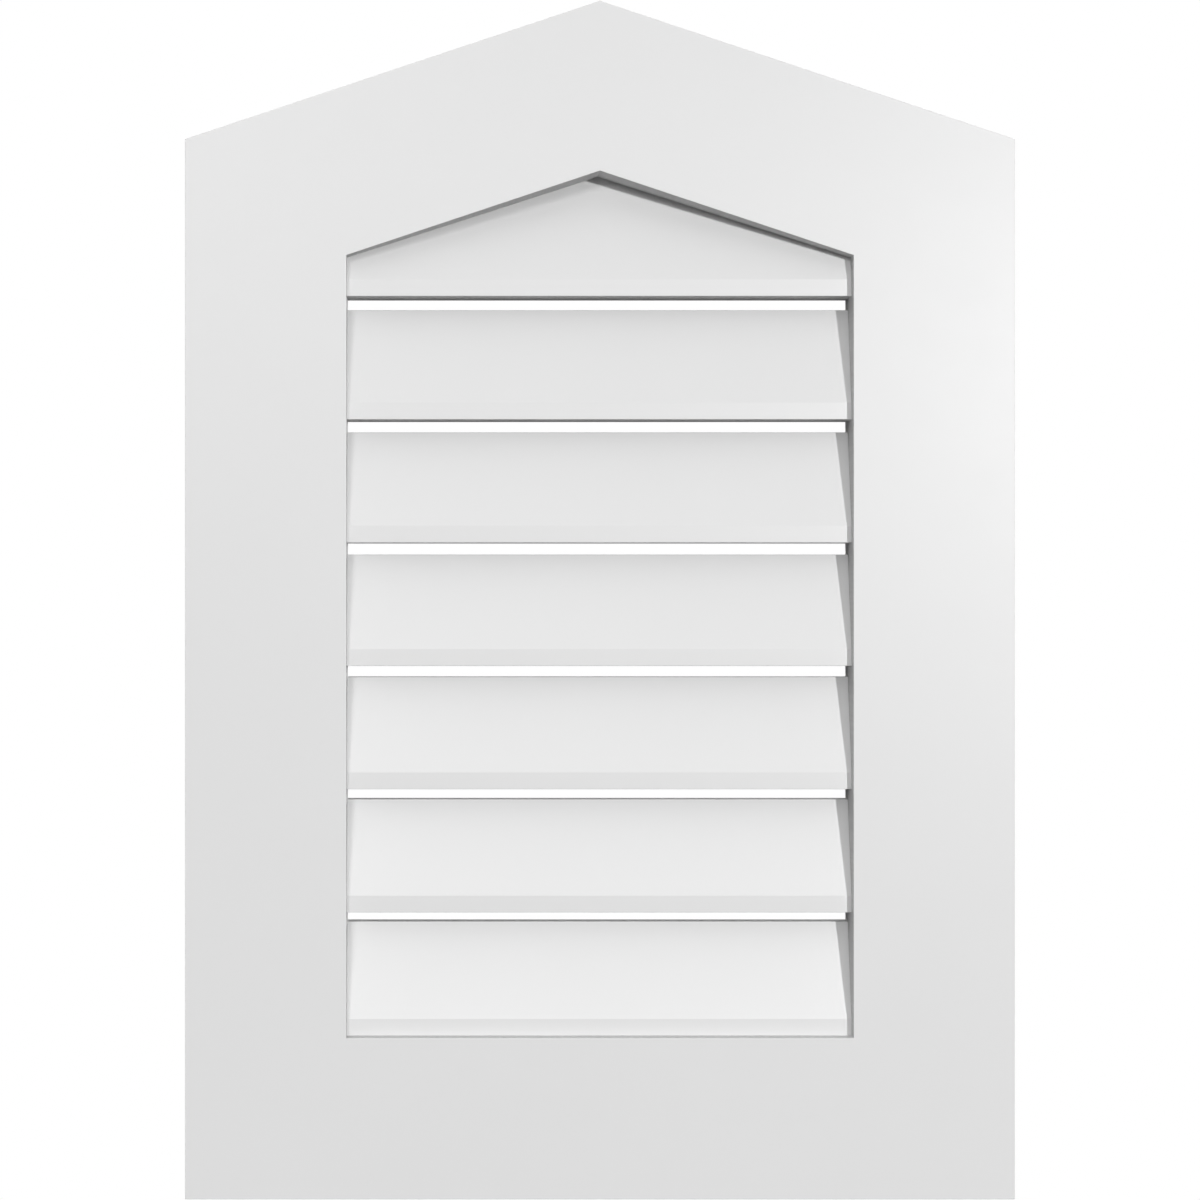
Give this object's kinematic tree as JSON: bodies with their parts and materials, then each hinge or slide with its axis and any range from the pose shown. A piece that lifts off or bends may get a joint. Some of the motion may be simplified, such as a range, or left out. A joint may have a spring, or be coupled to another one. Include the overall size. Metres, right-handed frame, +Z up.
{
  "type": "gable vent",
  "caption": "Tall gable vent with a low peaked top: a flat mitred board frame around a bank of fixed bevelled louvers with narrow open slots between them.",
  "frame": {"origin": "middle of the bottom edge of the back face, which lies on the wall in the plane Y = 0", "axes": "+X to the right for someone who faces the vent, +Y into the wall, +Z up towards the peak; the front faces -Y"},
  "size_m": [0.4572, 0.0254, 0.6604],
  "materials": {
    "pvc_board": "smooth satin white face of cellular PVC trim board",
    "pvc_louver": "satin white cellular PVC with machined bevels and edges"
  },
  "bodies": {
    "root": {"bottom_rail": "pvc_board", "left_stile": "pvc_board", "right_stile": "pvc_board", "left_rake_board": "pvc_board", "right_rake_board": "pvc_board", "peak_louver": "pvc_louver", "louver_1": "pvc_louver", "louver_2": "pvc_louver", "louver_3": "pvc_louver", "louver_4": "pvc_louver", "louver_5": "pvc_louver", "louver_6": "pvc_louver"}
  },
  "joints": []
}
